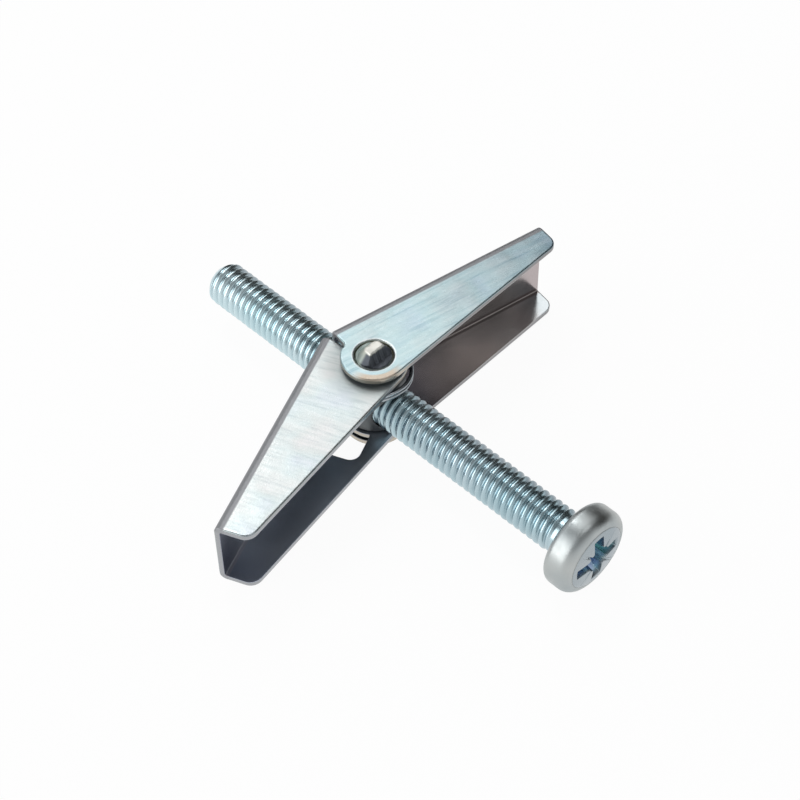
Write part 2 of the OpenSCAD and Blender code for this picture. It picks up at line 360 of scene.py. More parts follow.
def side_outline(taper, neck_top, neck_foot):
    """Edge of a wing's side in (u, v), from its root at the back round the ear to its tip."""
    nt, nf = np.array(neck_top), np.array(neck_foot)
    down = (nf - nt) / np.linalg.norm(nf - nt)
    centre = nt + RELIEF_R * (np.array([down[1], -down[0]]) + RELIEF_SHIFT * down)
    # where the relief leaves the ear's circle, on the far side
    d = np.linalg.norm(centre)
    half = math.acos((EAR_R ** 2 + d * d - RELIEF_R ** 2) / (2 * EAR_R * d))
    leave = math.atan2(centre[1], centre[0]) % (2 * math.pi) - half
    a0 = math.atan2(*(nt + RELIEF_SHIFT * RELIEF_R * down - centre)[::-1])
    a1 = math.atan2(*(polar(EAR_R, leave) - centre)[::-1])
    while a1 < a0:
        a1 += 2 * math.pi
    pts = [(nf[0], nf[1])]
    pts += arc_points(centre[0], centre[1], RELIEF_R, a0, a1, 8)
    top = math.pi / 2 - taper
    pts += arc_points(0, 0, EAR_R, leave, top, 36)[1:]
    rx = WING_LEN - TIP_ROUND
    ry = (EAR_R - TIP_ROUND - rx * math.sin(taper)) / math.cos(taper)
    pts += arc_points(rx, ry, TIP_ROUND, top, 0, 12)
    return pts


def window_loop(x0, x1, y0, y1, r):
    """Rounded window in a wing's side, pushed back to where it clears the ear's circle."""
    loop = []
    for cx, cy, a in ((x1 - r, y1 - r, 0), (x0 + r, y1 - r, 90), (x0 + r, y0 + r, 180), (x1 - r, y0 + r, 270)):
        loop += arc_points(cx, cy, r, math.radians(a), math.radians(a + 90), 8)
    steps = []
    for a, b in zip(loop, loop[1:] + loop[:1]):
        m = max(1, int(math.dist(a, b) / 0.5))
        steps += [(a[0] + (b[0] - a[0]) * i / m, a[1] + (b[1] - a[1]) * i / m) for i in range(m)]
    pushed = []
    for x, y in steps:
        f = max(1.0, EAR_R / math.hypot(x, y))
        point = (x * f, y * f)
        if not pushed or math.dist(point, pushed[-1]) > 0.05:
            pushed.append(point)
    return pushed


def blank_loops(wing, neck_top, neck_foot, slot_hw, slot_end, window):
    """Outline of the flat blank, and its holes."""
    flat = half_flat(wing)

    def to_s(v, side):
        return side * (flat + BEND_ARC + v + wing.back - SHEET - BEND_IN)

    side = side_outline(wing.taper, neck_top, neck_foot)
    root = neck_foot[0]
    up = [(u, to_s(v, 1)) for u, v in side]
    down = [(u, to_s(v, -1)) for u, v in side]
    notch = [(root, -slot_hw)]
    notch += arc_points(slot_end - SLOT_ROUND, -slot_hw + SLOT_ROUND, SLOT_ROUND, -math.pi / 2, 0, 8)
    notch += arc_points(slot_end - SLOT_ROUND, slot_hw - SLOT_ROUND, SLOT_ROUND, 0, math.pi / 2, 8) + [(root, slot_hw)]
    outline = down + up[::-1] + notch[::-1]
    circle = arc_points(0, 0, HOLE_R, 0, 2 * math.pi, 56)[:-1]
    holes = [[(u, to_s(v, sign)) for u, v in circle] for sign in (1, -1)]
    if window:
        holes.append([(u, to_s(v, -1)) for u, v in window_loop(*window)])
    return outline, holes


def area(loop):
    return 0.5 * sum(a[0] * b[1] - b[0] * a[1] for a, b in zip(loop, loop[1:] + loop[:1]))


def inset(loop, distance):
    """Points moved to the left of the loop's direction."""
    p = np.array(loop)
    e = np.roll(p, -1, 0) - p
    e /= np.linalg.norm(e, axis=1)[:, None]
    left = np.stack([-e[:, 1], e[:, 0]], 1)
    m = left + np.roll(left, 1, 0)
    m /= np.linalg.norm(m, axis=1)[:, None]
    stretch = 1 / np.maximum((m * left).sum(1), MITRE_LIMIT)
    return p + m * (stretch * distance)[:, None]


def flat_blank(loops):
    """Closed flat sheet round the middle plane, its edges rounded."""
    half = SHEET / 2
    rings = [(EDGE_OUT + EDGE_BAND, half)]
    rings += [(EDGE_OUT * (1 - math.sin(t)), half - EDGE_OUT * (1 - math.cos(t))) for t in np.radians([0, 30, 60, 90])]
    rings += [(0, -half + EDGE_IN), (EDGE_IN * 0.293, -half + EDGE_IN * 0.293), (EDGE_IN, -half),
              (EDGE_IN + EDGE_BAND, -half)]
    bm = bmesh.new()
    caps = {0: [], len(rings) - 1: []}
    for loop in loops:
        layers = []
        for depth, level in rings:
            layers.append([bm.verts.new((q[0], q[1], level)) for q in inset(loop, depth)])
        n = len(loop)
        for a, b in zip(layers, layers[1:]):
            for i in range(n):
                bm.faces.new((a[i], a[(i + 1) % n], b[(i + 1) % n], b[i]))
        for key in caps:
            ring = layers[key]
            for i in range(n):
                caps[key].append(bm.edges.get((ring[i], ring[(i + 1) % n])))
    for edges in caps.values():
        bmesh.ops.triangle_fill(bm, use_beauty=True, use_dissolve=False, edges=edges)
    return bm


def fold(wing, u, s, h):
    """Where a point of the flat blank, at a height over its middle plane, lies in the folded wing."""
    flat = half_flat(wing)
    a, sign = abs(s), math.copysign(1, s)
    if a <= flat:
        v, z = -wing.back + SHEET / 2 - h, s
    elif a <= flat + BEND_ARC:
        phi = (a - flat) / BEND_MID
        v = -wing.back + SHEET + BEND_IN - (BEND_MID + h) * math.cos(phi)
        z = sign * (flat + (BEND_MID + h) * math.sin(phi))
    else:
        v = -wing.back + SHEET + BEND_IN + a - flat - BEND_ARC
        z = sign * (flat + BEND_MID + h)
    cl, sl = math.cos(wing.lean), math.sin(wing.lean)
    if wing.mirrored:
        x, y = sl * u + cl * v, cl * u - sl * v
    else:
        x, y = sl * u + cl * v, -cl * u + sl * v
    return x + PIVOT.x, y + PIVOT.y, z + PIVOT.z


def build_wing(name, wing, neck_top, neck_foot, slot_hw, slot_end, window=None):
    outline, holes = blank_loops(wing, neck_top, neck_foot, slot_hw, slot_end, window)
    loops = []
    for i, loop in enumerate([outline] + holes):
        clean = [p for j, p in enumerate(loop) if math.dist(p, loop[j - 1]) > 0.01]
        # the sheet lies on the left of its outline and of each hole
        want = 1 if i == 0 else -1
        loops.append(clean if area(clean) * want > 0 else clean[::-1])
    bm = flat_blank(loops)
    # lines across the blank where it folds
    for sign in (1, -1):
        for i in range(9):
            geom = bm.verts[:] + bm.edges[:] + bm.faces[:]
            line = sign * (half_flat(wing) + BEND_ARC * i / 8)
            bmesh.ops.bisect_plane(bm, geom=geom, dist=1e-5, plane_co=(0, line, 0), plane_no=(0, 1, 0))
    bmesh.ops.recalc_face_normals(bm, faces=bm.faces)
    uv = bm.loops.layers.uv.new("flat")
    inside = bm.verts.layers.float.new("inside")
    for face in bm.faces:
        for loop in face.loops:
            loop[uv].uv = (loop.vert.co.x, loop.vert.co.y)
    for vert in bm.verts:
        u, s, h = vert.co
        vert[inside] = 0.5 - h / SHEET
        vert.co = fold(wing, u, s, h)
    bmesh.ops.recalc_face_normals(bm, faces=bm.faces)
    obj = finish_mesh(bm, bpy.data.meshes.new(name), name, 35)
    normals = obj.modifiers.new("normals", "WEIGHTED_NORMAL")
    normals.keep_sharp = True
    normals.weight = 80
    return obj


def from_outer(p):
    """Point (u, v) of the outer wing's side as x, y from the pin."""
    return polar(math.hypot(*p), math.pi / 2 - OUTER.lean - math.atan2(p[1], p[0]))


def to_inner(p):
    """Point x, y from the pin as (u, v) of the inner wing's side."""
    return polar(math.hypot(*p), math.pi / 2 - INNER.lean + math.atan2(p[1], p[0]))


def from_inner(p):
    """Point (u, v) of the inner wing's side as x, y from the pin."""
    return polar(math.hypot(*p), INNER.lean - math.pi / 2 + math.atan2(p[1], p[0]))


def build_wings():
    """Both wings. The inner one's neck ends just short of the outer one's back, which stops it."""
    outer_top = (OUTER_ROOT, -math.sqrt(EAR_R ** 2 - OUTER_ROOT ** 2))
    outer_foot = (OUTER_ROOT, -OUTER.back + NECK_DEPTH)
    outer = build_wing("wing_outer", OUTER, outer_top, outer_foot, slot_hw=OUTER.width / 2 - SHEET - 1.15, slot_end=3.0)
    stop = to_inner(from_outer((OUTER_ROOT, -OUTER.back + SHEET)) - np.array([0, STOP_GAP]))
    inner_top = to_inner(polar(EAR_R, NECK_ANGLE))
    slope = (stop - inner_top) / (stop - inner_top)[1]
    inner_foot = inner_top + slope * (-INNER.back + NECK_DEPTH - inner_top[1])
    inner = build_wing("wing_inner", INNER, inner_top, inner_foot, slot_hw=INNER.width / 2 - SHEET - 0.2, slot_end=2.0,
                       window=(3.2, 8.6, -3.3, 0.9, 1.3))
    return outer, inner


# ---- Spring --------------------------------------------------------------------------------------
WIRE_SIDES = 12
END_BEVEL, END_SHRINK = 0.08, 0.75


def wire(name, path):
    """Closed round wire along millimetre points."""
    path = np.array(path)
    tangent = np.gradient(path, axis=0)
    tangent /= np.linalg.norm(tangent, axis=1)[:, None]
    side = np.cross([0, 0, 1.0], tangent)
    side /= np.linalg.norm(side, axis=1)[:, None]
    up = np.cross(tangent, side)
    angles = np.arange(WIRE_SIDES) * 2 * math.pi / WIRE_SIDES
    bm = bmesh.new()
    rows = []
    for p, sd, u in zip(path, side, up):
        rows.append([bm.verts.new(p + WIRE_R * (math.cos(t) * sd + math.sin(t) * u)) for t in angles])
    for r0, r1 in zip(rows, rows[1:]):
        for i in range(WIRE_SIDES):
            n = (i + 1) % WIRE_SIDES
            bm.faces.new((r0[i], r0[n], r1[n], r1[i]))
    for ring, p, t in ((rows[0], path[0], -tangent[0]), (rows[-1], path[-1], tangent[-1])):
        end = [bm.verts.new(Vector(p + t * END_BEVEL) + (v.co - Vector(p)) * END_SHRINK) for v in ring]
        for i in range(WIRE_SIDES):
            n = (i + 1) % WIRE_SIDES
            bm.faces.new((ring[i], ring[n], end[n], end[i]))
        bm.faces.new(end)
    bmesh.ops.recalc_face_normals(bm, faces=bm.faces)
    return finish_mesh(bm, bpy.data.meshes.new(name), name, 50)


def build_spring():
    """Coil, and for each leg its wire and the two points between which it leaves the coil for its wing."""
    def leg_tip(wing):
        return np.array([LEG_LEN, -(wing.back - SHEET - LEG_GAP - WIRE_R)])

    def touch(end):
        # angle at which a straight leg to its end leaves the coil's circle
        return math.atan2(end[1], end[0]) - math.acos(COIL_R / math.hypot(*end))

    low_end, high_end = leg_tip(INNER), leg_tip(OUTER)
    start = 3 * math.pi / 2 + INNER.lean + touch(low_end)
    stop = math.pi / 2 - OUTER.lean - touch(high_end) - 4 * math.pi
    rise = (2 * WIRE_R + TURN_GAP) * (start - stop) / (2 * math.pi)
    base = INNER.width / 2 - SHEET - SIDE_GAP - WIRE_R - rise
    origin = np.array(PIVOT) + [0, 0, base]
    steps = int(64 * (start - stop) / (2 * math.pi))
    coil = []
    for i in range(steps + 1):
        p = polar(COIL_R, start + (stop - start) * i / steps)
        coil.append(origin + [p[0], p[1], rise * i / steps])
    coil_piece = wire("spring_coil", coil)
    legs = []
    for name, a, end, z in (("spring_leg_inner", coil[0], from_inner(low_end), 0.0),
                            ("spring_leg_outer", coil[-1], from_outer(high_end), rise)):
        b = origin + [end[0], end[1], z]
        length = np.linalg.norm(b - a)
        along = np.concatenate([np.linspace(0, RAMP, 41), np.linspace(RAMP, length, 24)[1:]])
        path = [a + (b - a) * t / length for t in along]
        legs.append((wire(name, path), a, a + (b - a) * RAMP / length))
    return coil_piece, legs


# ---- Nut -----------------------------------------------------------------------------------------
NUT_SIDES = 96
CUTTER_LEN = 12
CUTTER_TURN = math.radians(1.3)         # turns the bore's facets, so that its edges miss the barrel's
CROP_BLEND = 18                         # how sharply the cropped end's planes meet


def crop_height(x, y):
    """Height of the cropped end above the nut's middle: a small flat, a slope, a torn wall and rounded ends."""
    wall = x + 0.03 * np.sin(7 * y + 1) + 0.02 * np.sin(19 * y)
    ends = np.hypot(1.1 * np.minimum(0, x), np.maximum(np.abs(y + 0.05) - 0.35, 0))
    planes = np.stack([np.full(np.shape(x), NUT_TOP), NUT_TOP - 0.85 * (-x - 0.5) + 0.02 * np.sin(6 * y),
                       NUT_TOP - 2.4 * (wall - 0.6), NUT_TOP - 1.5 * (ends - 0.75)])
    lowest = -np.log(np.exp(-CROP_BLEND * (planes - NUT_TOP)).sum(0)) / CROP_BLEND + NUT_TOP
    return np.maximum(lowest, PIN_NECK + 0.25 + 0.03 * np.sin(4 * x + 3 * y))


def build_nut():
    """Barrel with a pin at each end, turned from a profile, the upper pin's end cropped, and the bore cut through."""
    half, foot = INNER.width / 2 - SHEET - SIDE_GAP, OUTER.width / 2 + 0.2
    edge = [(PIN_R, half + 0.08), (PIN_R + 0.08, half), (BARREL_R - 0.3, half), (BARREL_R - 0.24, half - 0.02),
            (BARREL_R - 0.02, half - 0.24), (BARREL_R, half - 0.3)]
    profile = [(0.6, -foot), (STUB_R - 0.2, -foot), (STUB_R - 0.04, -foot + 0.06), (STUB_R, -foot + 0.16),
               (STUB_R, -PIN_NECK - 0.2), (PIN_R, -PIN_NECK)]
    profile += [(r, -z) for r, z in edge] + edge[::-1] + [(PIN_R, PIN_NECK), (STUB_R, PIN_NECK + 0.2)]
    bm = bmesh.new()
    angles = np.arange(NUT_SIDES) * 2 * math.pi / NUT_SIDES
    rows = [[bm.verts.new((r * math.cos(a), r * math.sin(a), z)) for a in angles] for r, z in profile]
    for r in np.linspace(STUB_R, 0.05, 30):
        x, y = r * np.cos(angles), r * np.sin(angles)
        rows.append([bm.verts.new(p) for p in zip(x, y, crop_height(x, y))])
    for a, b in zip(rows, rows[1:]):
        for i in range(NUT_SIDES):
            bm.faces.new((a[i], a[(i + 1) % NUT_SIDES], b[(i + 1) % NUT_SIDES], b[i]))
    bm.faces.new(rows[0])
    bm.faces.new(rows[-1])
    bmesh.ops.translate(bm, vec=PIVOT, verts=bm.verts)
    bmesh.ops.recalc_face_normals(bm, faces=bm.faces)
    body = finish_mesh(bm, bpy.data.meshes.new("nut_body"), "nut_body", 30)
    # the bore
    bm = bmesh.new()
    across = Matrix.Translation((PIVOT.x, 0, 0)) @ Matrix.Rotation(math.pi / 2, 4, "Y")
    across = across @ Matrix.Rotation(CUTTER_TURN, 4, "Z")
    bmesh.ops.create_cone(bm, cap_ends=True, segments=NUT_SIDES, radius1=BORE_R, radius2=BORE_R, depth=CUTTER_LEN,
                          matrix=across)
    bore = finish_mesh(bm, bpy.data.meshes.new("bore"), "bore", 30)
    cut = body.modifiers.new("bore", "BOOLEAN")
    cut.operation, cut.solver, cut.object = "DIFFERENCE", "EXACT", bore
    bpy.context.view_layer.update()
    mesh = bpy.data.meshes.new_from_object(body.evaluated_get(bpy.context.evaluated_depsgraph_get()))
    for old in (body, bore):
        bpy.data.objects.remove(old)
    mesh.name = "nut"
    mesh.set_sharp_from_angle(angle=math.radians(30))
    obj = bpy.data.objects.new("nut", mesh)
    bpy.context.scene.collection.objects.link(obj)
    return obj


def mark_nut(obj):
    """Masks for the material: painted shade on the cropped end's steep wall, both pins' ends, and a painted highlight
    on the small flat on top.
    """
    places = [(v.co / MM) - PIVOT for v in obj.data.vertices]
    # mask for painted shade on the cropped end's steep wall
    point_attribute(obj, "torn", [float((p.z > PIN_NECK + 0.12) * smooth(NUT_TOP - 0.12, NUT_TOP - 0.3, p.z) *
                                        smooth(-0.1, 0.45, p.x + 0.15 * abs(p.y))) for p in places])
    point_attribute(obj, "end", [float(abs(p.z) > PIN_NECK - 0.3) for p in places])
    # mask for a painted highlight on the small flat on top
    point_attribute(obj, "flat", [float(smooth(NUT_TOP - 0.22, NUT_TOP - 0.1, p.z)) for p in places])


# ---- Materials -----------------------------------------------------------------------------------
MIXED = 2                               # output of a colour mix
BLACK, WHITE = (0, 0, 0, 1), (1, 1, 1, 1)


class Nodes:
    """Small helper for building a material's node tree. An input is a node and its output, or a value and None."""

    def __init__(self, name):
        self.material = bpy.data.materials.new(name)
        self.material.use_nodes = True
        self.tree = self.material.node_tree
        self.tree.nodes.clear()
        self.out = self.add("ShaderNodeOutputMaterial")
        self.bsdf = self.add("ShaderNodeBsdfPrincipled")
        self.link(self.bsdf, "BSDF", self.out, "Surface")

    def add(self, kind, **settings):
        node = self.tree.nodes.new(kind)
        for key, value in settings.items():
            setattr(node, key, value)
        return node

    def link(self, a, out, b, into):
        self.tree.links.new(a.outputs[out], b.inputs[into])

    def feed(self, node, *inputs):
        for thing, out, into in inputs:
            if out is None:
                node.inputs[into].default_value = thing
            else:
                self.link(thing, out, node, into)
        return node

    def noise(self, kind, scale, detail, rough=0.5):
        """Noise over the flat blank, in millimetres, or over the object, in metres."""
        if kind == "flat":
            source, out = self.add("ShaderNodeUVMap", uv_map="flat"), "UV"
        else:
            source, out = self.add("ShaderNodeTexCoord"), "Object"
        mapping = self.feed(self.add("ShaderNodeMapping"), (source, out, "Vector"), (scale, None, "Scale"))
        return self.feed(self.add("ShaderNodeTexNoise"), (mapping, "Vector", "Vector"), (1.0, None, "Scale"),
                         (detail, None, "Detail"), (rough, None, "Roughness"))

    def ramp(self, source, out, stops):
        node = self.add("ShaderNodeValToRGB")
        elements = node.color_ramp.elements
        while len(elements) > 1:
            elements.remove(elements[0])
        for i, (at, colour) in enumerate(stops):
            element = elements.new(at) if i else elements[0]
            element.position, element.color = at, colour
        return self.feed(node, (source, out, "Fac"))

    def value_range(self, source, out, low, high, a=0.0, b=1.0):
        """Value from low to high as the source goes from a to b."""
        return self.feed(self.add("ShaderNodeMapRange"), (a, None, "From Min"), (b, None, "From Max"),
                         (low, None, "To Min"), (high, None, "To Max"), (source, out, "Value"))

    def mix(self, fac, fac_out, a, a_out, b, b_out, blend="MIX"):
        """Colour mix, whose result is its output MIXED."""
        return self.feed(self.add("ShaderNodeMix", data_type="RGBA", blend_type=blend),
                         (fac, fac_out, 0), (a, a_out, 6), (b, b_out, 7))

    def mix_value(self, fac, fac_out, a, a_out, b, b_out):
        return self.feed(self.add("ShaderNodeMix", data_type="FLOAT"), (fac, fac_out, 0), (a, a_out, 2), (b, b_out, 3))

    def calc(self, operation, *terms):
        """Math node, whose result is its output 0."""
        return self.feed(self.add("ShaderNodeMath", operation=operation),
                         *[(thing, out, into) for into, (thing, out) in enumerate(terms)])

    def vector_calc(self, operation, *terms):
        return self.feed(self.add("ShaderNodeVectorMath", operation=operation),
                         *[(thing, out, into) for into, (thing, out) in enumerate(terms)])

    def bump(self, height_source, out, strength, distance, after=None):
        node = self.feed(self.add("ShaderNodeBump"), (strength, None, "Strength"), (distance, None, "Distance"),
                         (height_source, out, "Height"))
        if after:
            self.link(after, "Normal", node, "Normal")
        return node

    def attribute(self, name):
        return self.add("ShaderNodeAttribute", attribute_name=name)

    def metal(self, colour, colour_out, rough, rough_out, bump):
        """Joins a bare metal's colour, roughness and bump to its shader."""
        self.link(colour, colour_out, self.bsdf, "Base Color")
        self.link(rough, rough_out, self.bsdf, "Roughness")
        self.link(bump, "Normal", self.bsdf, "Normal")
        self.bsdf.inputs["Metallic"].default_value = 1.0
        return self.material


OUTER_LOOK = SimpleNamespace(
    light=srgb(174, 186, 189), mid=srgb(165, 180, 184), dark=srgb(142, 160, 167),   # brushed streaks
    streak_scale=(0.12, 1.6, 1),
    far=(0.64, 0.66, 0.7, 1),           # times this towards the tip, outside
    pin_side_shade=(0.6, 0.63, 0.7, 1),           # painted shade: times this beside the pin, inside
    inside_dark=srgb(190, 187, 185), inside_light=srgb(208, 204, 202),
    back_shade=(0.74, 0.71, 0.72, 1),     # painted shade: times this on the inside of the channel's back
    corner_shade=srgb(144, 138, 136),    # painted shade inside the folds
    # painted light and shade at the tip, inside the channel
    tip_back_painted=srgb(180, 170, 170), tip_side_painted=srgb(184, 190, 192),
    sheared=srgb(140, 138, 139),        # cut edges
    rough=0.3, inside_rough=0.2, ear_rough=0.0,
    rolled_edge_sheen=1.0,                    # strength of the tan reflection painted on the ear's rolled edge
    grain=0.12)
INNER_LOOK = SimpleNamespace(
    light=srgb(185, 186, 187), mid=srgb(178, 181, 182), dark=srgb(165, 169, 172),
    streak_scale=(2.4, 0.22, 1),
    far=(0.92, 0.92, 0.92, 1),
    # painted shade inside the channel, and painted light and shade at its tip, as for the outer wing
    pin_side_shade=(0.95, 0.96, 0.97, 1),
    inside_dark=srgb(182, 187, 195), inside_light=srgb(194, 199, 207),
    back_shade=WHITE,
    corner_shade=srgb(196, 194, 200),
    tip_back_painted=srgb(132, 136, 150), tip_side_painted=srgb(170, 176, 188),
    sheared=srgb(166, 168, 171),
    rough=0.27, inside_rough=0.36, ear_rough=0.2,
    rolled_edge_sheen=0.0,
    grain=0.04)
PALE_RING = srgb(206, 210, 210)            # paler ring round the pin's hole
# tan reflection painted on the ear's rolled edge
ROLLED_EDGE_SHEEN = srgb(172, 161, 147)
FOLD_DARK_SHEEN = srgb(146, 147, 150)           # painted darker reflection along the folds
# tan of the ear's cut edge: partly bare steel, partly a painted reflection
EAR_CUT_TAN_AND_SHEEN = srgb(206, 196, 178)


def wing_material(name, wing, look):
    """Zinc-plated sheet. Its tones are placed on the flat blank, and by how far inside the channel a point lies.
    Painted shade lies inside the channel, painted reflections on the folds and the ear's edges, and painted light and
    shade at the tip.
    """
    n = Nodes(name)
    streaks = n.noise("flat", look.streak_scale, 4.0, 0.6)
    cloud = n.noise("flat", (0.16, 0.16, 0.16), 2.0)
    fine = n.noise("flat", (1.5, 14, 1), 3.0, 0.6)
    flat = n.vector_calc("ABSOLUTE", (n.add("ShaderNodeUVMap", uv_map="flat"), "UV"))
    place = n.feed(n.add("ShaderNodeSeparateXYZ"), (flat, "Vector", 0))
    signed = n.feed(n.add("ShaderNodeSeparateXYZ"), (n.add("ShaderNodeUVMap", uv_map="flat"), "UV", 0))
    ear = n.vector_calc("DISTANCE", (flat, "Vector"), ((0, ear_line(wing), 0), None))
    side_line = wing.width / 2 - SHEET
    off_fold = n.calc("SUBTRACT", (place, "Y"), (side_line - BEND_IN + 0.74 * BEND_ARC, None))
    folded = n.value_range(n.calc("ABSOLUTE", (off_fold, 0)), 0, 1.0, 0.0, 0.54 * BEND_ARC, 0.72 * BEND_ARC)

    # outside: brushed zinc, darker towards the tip, with a paler ring round the pin's hole, a tan reflection painted
    # on the rolled edge of the ear's round end, and rougher folds with a painted darker reflection
    base = n.ramp(streaks, "Fac", [(0.3, look.dark), (0.46, look.mid), (0.62, look.light)])
    tint = n.ramp(cloud, "Fac", [(0.3, (0.9, 0.95, 1.0, 1)), (0.45, (0.93, 1.0, 0.99, 1)),
                                 (0.55, (0.97, 0.99, 0.97, 1)), (0.7, (1.0, 0.98, 0.97, 1))])
    tinted = n.mix(1.0, None, base, "Color", tint, "Color", "MULTIPLY")
    outward = n.value_range(place, "X", 0.0, 1.0, 8.0, WING_LEN)
    outside = n.mix(outward, "Result", tinted, MIXED, look.far, None, "MULTIPLY")
    ring = n.value_range(ear, "Value", 1.0, 0.0, HOLE_R + 0.12, HOLE_R + 0.35)
    ring_paled = n.mix(ring, "Result", outside, MIXED, PALE_RING, None)
    at_edge = n.value_range(ear, "Value", 0.0, 1.0, EAR_R - 0.95, EAR_R - 0.75)
    free_side = n.value_range(place, "Y", 0.0, look.rolled_edge_sheen, ear_line(wing) + 0.8, ear_line(wing) + 2.2)
    round_end = n.value_range(signed, "X", 1.0, 0.0, 0.3, 1.8)
    rolled = n.calc("MULTIPLY", (round_end, "Result"),
                    (n.calc("MULTIPLY", (at_edge, "Result"), (free_side, "Result")), 0))
    edged = n.mix(rolled, 0, ring_paled, MIXED, ROLLED_EDGE_SHEEN, None)
    # painted darker reflection along the folds
    fold_darkened = n.mix(folded, "Result", edged, MIXED, FOLD_DARK_SHEEN, None)

    # inside: patchy, with painted shade beside the pin, on the back and in the corners, and painted light and shade at
    # the tip
    patchy = n.ramp(cloud, "Fac", [(0.3, look.inside_dark), (0.7, look.inside_light)])
    by_pin = n.value_range(place, "X", 1.0, 0.0, 6.0, 15.0)
    shaded_by_pin = n.mix(by_pin, "Result", patchy, "Color", look.pin_side_shade, None, "MULTIPLY")
    on_side = n.value_range(place, "Y", 0.0, 1.0, side_line - 0.1, side_line + 0.1)
    shaded = n.mix(on_side, "Result", look.back_shade, None, WHITE, None)
    walls = n.mix(1.0, None, shaded_by_pin, MIXED, shaded, MIXED, "MULTIPLY")
    tip = n.mix(on_side, "Result", look.tip_back_painted, None, look.tip_side_painted, None)
    near_tip = n.value_range(place, "X", 0.0, 1.0, WING_LEN - 5.0, WING_LEN - 1.5)
    channel = n.mix(near_tip, "Result", walls, MIXED, tip, MIXED)
    corner = n.mix(folded, "Result", channel, MIXED, look.corner_shade, None)

    # cut edges, tan round the ear: partly the bare steel's colour, partly a painted reflection
    inside = n.attribute("inside")
    edge = n.ramp(inside, "Fac", [(0.2, BLACK), (0.26, WHITE), (0.86, WHITE), (0.93, BLACK)])
    by_ear = n.value_range(ear, "Value", 0.0, 1.0, EAR_R - 0.3, EAR_R + 0.6)
    cut_colour = n.mix(by_ear, "Result", EAR_CUT_TAN_AND_SHEEN, None, look.sheared, None)
    cut = n.mix(edge, "Color", fold_darkened, MIXED, cut_colour, MIXED)
    within = n.ramp(inside, "Fac", [(0.85, BLACK), (0.97, WHITE)])
    colour = n.mix(within, "Color", cut, MIXED, corner, MIXED)

    brushed = n.value_range(fine, "Fac", look.rough - 0.05, look.rough + 0.06, 0.3, 0.7)
    folds = n.mix_value(folded, "Result", brushed, "Result", 0.5, None)
    beside_ear = n.value_range(ear, "Value", look.ear_rough, 0.0, EAR_R + 0.5, EAR_R + 3.0)
    rough_outside = n.calc("ADD", (beside_ear, "Result"), (folds, 0))
    rough = n.mix_value(within, "Color", rough_outside, 0, look.inside_rough, None)
    grain = n.bump(fine, "Fac", look.grain, 0.00002)
    n.link(n.value_range(within, "Color", look.grain, 0.01), "Result", grain, "Strength")
    wave = n.bump(cloud, "Fac", 0.3, 0.0004, grain)
    return n.metal(colour, MIXED, rough, 0, wave)


def screw_material():
    """Blue zinc, darker from the wings to the head, with a painted darker reflection in a stripe along one side of the
    thread, painted shade along the groove round the face, a satin head and an iridescent film in the recess."""
    n = Nodes("zinc_screw")
    spots = n.noise("object", (900, 900, 900), 3.0)
    cloud = n.noise("object", (160, 160, 160), 2.0)
    shank = n.ramp(cloud, "Fac", [(0.35, srgb(196, 222, 228)), (0.65, srgb(212, 231, 236))])
    head = n.ramp(cloud, "Fac", [(0.35, srgb(168, 176, 178)), (0.65, srgb(184, 188, 187))])
    face = n.ramp(cloud, "Fac", [(0.35, srgb(154, 165, 171)), (0.65, srgb(166, 174, 178))])
    where = n.add("ShaderNodeTexCoord")
    place = n.feed(n.add("ShaderNodeSeparateXYZ"), (where, "Object", 0))
    # darker from the wings to the head
    forward = n.value_range(place, "X", 0.0, 1.0, -0.05, -0.02)
    darker_to_head = n.mix(forward, "Result", shank, "Color", (0.76, 0.78, 0.8, 1), None, "MULTIPLY")
    # painted darker reflection in a stripe along one side of the thread, kept off the tip's face
    from_axis = n.vector_calc("MULTIPLY", (where, "Object"), ((0, 1, 1), None))
    outward = n.vector_calc("NORMALIZE", (from_axis, "Vector"))
    towards = n.vector_calc("DOT_PRODUCT", (outward, "Vector"), ((0, 0.855, 0.518), None))
    along_stripe = n.value_range(towards, "Value", 0.0, 1.0, 0.84, 0.94)
    off_axis = n.vector_calc("LENGTH", (from_axis, "Vector"))
    on_thread = n.value_range(off_axis, "Value", 0.0, 1.0, 2.15 * MM, 2.35 * MM)
    stripe = n.calc("MULTIPLY", (along_stripe, "Result"), (on_thread, "Result"))
    side_dark_reflection = n.mix(stripe, 0, darker_to_head, MIXED, (0.56, 0.54, 0.56, 1), None, "MULTIPLY")
    faced = n.mix(n.attribute("face"), "Fac", side_dark_reflection, MIXED, face, "Color")
    base = n.mix(n.attribute("head"), "Fac", faced, MIXED, head, "Color")
    # darker in the thread's roots
    root_tone = n.ramp(n.attribute("root"), "Fac", [(0.0, WHITE), (1.0, srgb(226, 230, 232))])
    worn = n.mix(1.0, None, base, MIXED, root_tone, "Color", "MULTIPLY")
    film = n.ramp(cloud, "Fac", [(0.3, srgb(144, 184, 192)), (0.45, srgb(164, 198, 200)), (0.55, srgb(152, 170, 202)),
                                 (0.7, srgb(180, 200, 190))])
    # painted shade along the fine groove round the face
    rim_darkened = n.mix(n.attribute("rim"), "Fac", worn, MIXED, srgb(140, 143, 143), None)
    colour = n.mix(n.attribute("recess"), "Fac", rim_darkened, MIXED, film, "Color")
    polish = n.value_range(spots, "Fac", 0.2, 0.32, 0.3, 0.7)
    satin = n.calc("MULTIPLY_ADD", (n.attribute("head"), "Fac"), (0.14, None), (polish, "Result"))
    return n.metal(colour, MIXED, satin, 0, n.bump(spots, "Fac", 0.2, 0.00003))


